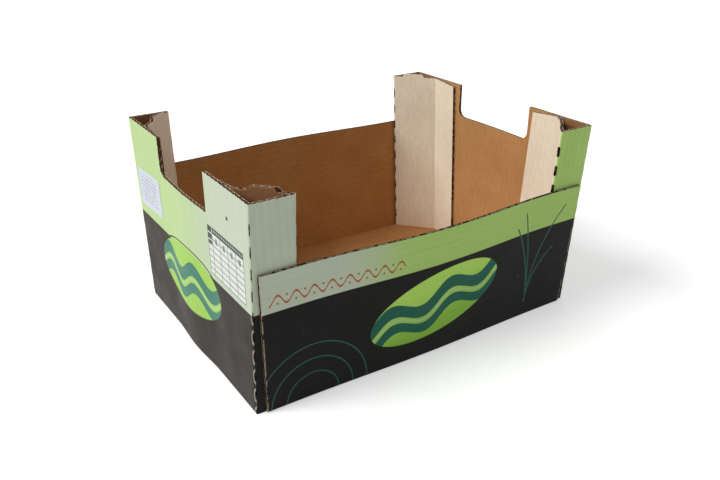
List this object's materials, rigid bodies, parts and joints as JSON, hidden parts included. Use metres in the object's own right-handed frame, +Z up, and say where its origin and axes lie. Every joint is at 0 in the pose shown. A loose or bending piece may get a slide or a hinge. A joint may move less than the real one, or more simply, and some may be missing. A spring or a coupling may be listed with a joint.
{
  "type": "cardboard tray box",
  "caption": "Open folded cardboard produce tray with low long sides, notched end walls and hollow triangular corner posts with stacking lugs.",
  "frame": {"origin": "middle of the tray's footprint, on the surface that it stands on", "axes": "+X along the tray's length, +Y from the front long side to the back long side, +Z up"},
  "size_m": [0.404, 0.3154, 0.216],
  "materials": {
    "corrugated_board": "matte",
    "label_paper": "satin"
  },
  "bodies": {
    "root": {"folded_tray": "corrugated_board", "paper_label": "label_paper"}
  },
  "joints": []
}
